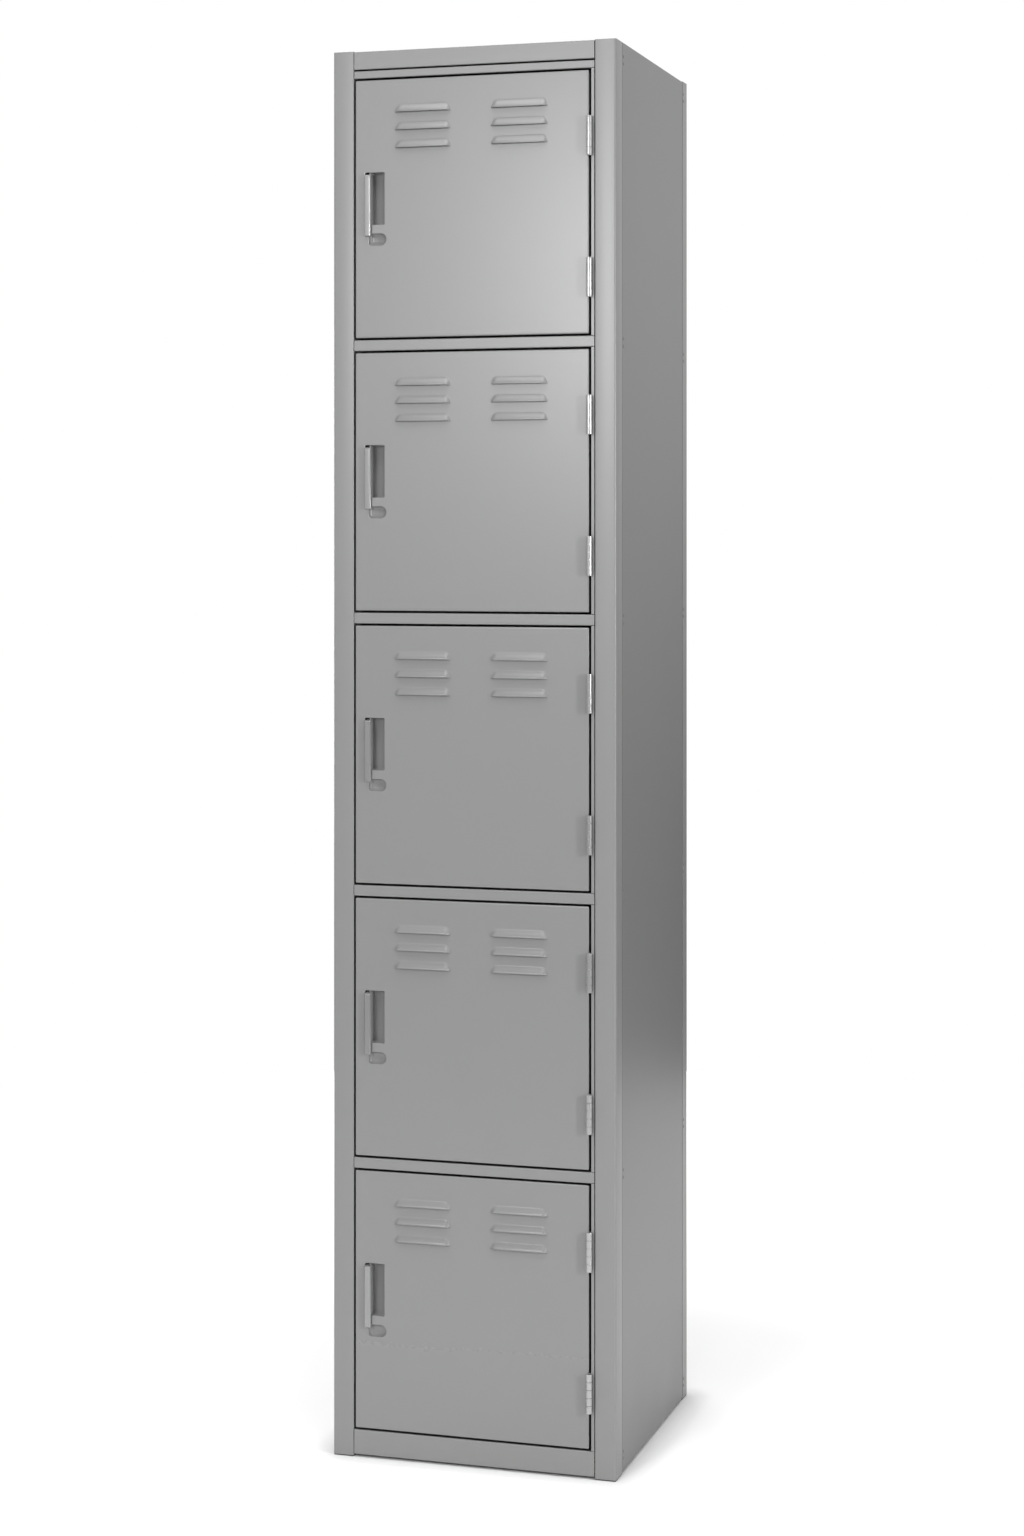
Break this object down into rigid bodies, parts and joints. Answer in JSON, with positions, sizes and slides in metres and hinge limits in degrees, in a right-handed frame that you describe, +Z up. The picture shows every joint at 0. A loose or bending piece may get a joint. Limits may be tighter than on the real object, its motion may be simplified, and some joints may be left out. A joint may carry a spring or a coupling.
{
  "type": "locker cabinet",
  "caption": "Tall steel storage locker with a column of hinged compartment doors, each with louvres, a recessed pull and a sprung latch.",
  "frame": {"origin": "on the floor, under the centre of the bounding box: midway across the posts, and 4 mm in front of the middle of the cabinet's own depth because the hinge barrels stand 8 mm proud of the front", "axes": "+Z up, -Y out of the front towards someone opening the doors, +X to the right as seen from the front"},
  "size_m": [0.3824, 0.398, 1.83],
  "materials": {
    "frame_paint": "grey powder coat, satin, fine orange peel",
    "panel_paint": "grey powder coat, satin, fine orange peel",
    "door_paint": "grey powder coat, satin, fine orange peel",
    "hinge_paint": "grey painted steel, slightly brighter",
    "lever_metal": "light grey painted steel, satin, polished at the edge by use",
    "pin_steel": "bright drawn steel",
    "zinc_steel": "zinc plated pressed steel",
    "rubber": "black rubber",
    "glide_plastic": "black moulded nylon"
  },
  "bodies": {
    "carcass": {"front_post_left": "frame_paint", "front_post_right": "frame_paint", "rear_post_left": "frame_paint", "rear_post_right": "frame_paint", "side_panel_left": "panel_paint", "side_panel_right": "panel_paint", "back_panel": "panel_paint", "roof_panel": "frame_paint", "floor_panel": "panel_paint", "plinth": "frame_paint", "top_rail": "frame_paint", "shelf_1": "frame_paint", "shelf_2": "frame_paint", "shelf_3": "frame_paint", "shelf_4": "frame_paint", "hinge_jambs": "frame_paint", "hinge_frame_leaves": "hinge_paint", "hinge_pins": "pin_steel", "strikes": "zinc_steel", "strike_bumpers": "rubber", "rivets": "panel_paint", "feet": "glide_plastic"},
    "door_1": {"door_panel_1": "door_paint", "handle_pocket_1": "door_paint", "hinge_door_leaves_1": "hinge_paint", "lever_pin_1": "pin_steel", "lever_spring_1": "pin_steel"},
    "lever_1": {"pull_lever_1": "lever_metal"},
    "door_2": {"door_panel_2": "door_paint", "handle_pocket_2": "door_paint", "hinge_door_leaves_2": "hinge_paint", "lever_pin_2": "pin_steel", "lever_spring_2": "pin_steel"},
    "lever_2": {"pull_lever_2": "lever_metal"},
    "door_3": {"door_panel_3": "door_paint", "handle_pocket_3": "door_paint", "hinge_door_leaves_3": "hinge_paint", "lever_pin_3": "pin_steel", "lever_spring_3": "pin_steel"},
    "lever_3": {"pull_lever_3": "lever_metal"},
    "door_4": {"door_panel_4": "door_paint", "handle_pocket_4": "door_paint", "hinge_door_leaves_4": "hinge_paint", "lever_pin_4": "pin_steel", "lever_spring_4": "pin_steel"},
    "lever_4": {"pull_lever_4": "lever_metal"},
    "door_5": {"door_panel_5": "door_paint", "handle_pocket_5": "door_paint", "hinge_door_leaves_5": "hinge_paint", "lever_pin_5": "pin_steel", "lever_spring_5": "pin_steel"},
    "lever_5": {"pull_lever_5": "lever_metal"}
  },
  "joints": [
    {"name": "door_1_hinge", "type": "hinge", "parent": "carcass", "child": "door_1", "pos_m": [0.1563, -0.195, 1.624], "axis": [0, 0, 1], "range_deg": [0, 175]},
    {"name": "lever_1_pull", "type": "hinge", "parent": "door_1", "child": "lever_1", "pos_m": [-0.1439, -0.1855, 1.6655], "axis": [-1, 0, 0], "range_deg": [0, 20], "stiffness_Nm_per_rad": 0.15, "springref_deg": -34.38, "deforming": ["lever_spring_1"]},
    {"name": "door_2_hinge", "type": "hinge", "parent": "carcass", "child": "door_2", "pos_m": [0.1563, -0.195, 1.2695], "axis": [0, 0, 1], "range_deg": [0, 175]},
    {"name": "lever_2_pull", "type": "hinge", "parent": "door_2", "child": "lever_2", "pos_m": [-0.1439, -0.1855, 1.311], "axis": [-1, 0, 0], "range_deg": [0, 20], "stiffness_Nm_per_rad": 0.15, "springref_deg": -34.38, "deforming": ["lever_spring_2"]},
    {"name": "door_3_hinge", "type": "hinge", "parent": "carcass", "child": "door_3", "pos_m": [0.1563, -0.195, 0.915], "axis": [0, 0, 1], "range_deg": [0, 175]},
    {"name": "lever_3_pull", "type": "hinge", "parent": "door_3", "child": "lever_3", "pos_m": [-0.1439, -0.1855, 0.9565], "axis": [-1, 0, 0], "range_deg": [0, 20], "stiffness_Nm_per_rad": 0.15, "springref_deg": -34.38, "deforming": ["lever_spring_3"]},
    {"name": "door_4_hinge", "type": "hinge", "parent": "carcass", "child": "door_4", "pos_m": [0.1563, -0.195, 0.5605], "axis": [0, 0, 1], "range_deg": [0, 175]},
    {"name": "lever_4_pull", "type": "hinge", "parent": "door_4", "child": "lever_4", "pos_m": [-0.1439, -0.1855, 0.602], "axis": [-1, 0, 0], "range_deg": [0, 20], "stiffness_Nm_per_rad": 0.15, "springref_deg": -34.38, "deforming": ["lever_spring_4"]},
    {"name": "door_5_hinge", "type": "hinge", "parent": "carcass", "child": "door_5", "pos_m": [0.1563, -0.195, 0.206], "axis": [0, 0, 1], "range_deg": [0, 175]},
    {"name": "lever_5_pull", "type": "hinge", "parent": "door_5", "child": "lever_5", "pos_m": [-0.1439, -0.1855, 0.2475], "axis": [-1, 0, 0], "range_deg": [0, 20], "stiffness_Nm_per_rad": 0.15, "springref_deg": -34.38, "deforming": ["lever_spring_5"]}
  ]
}
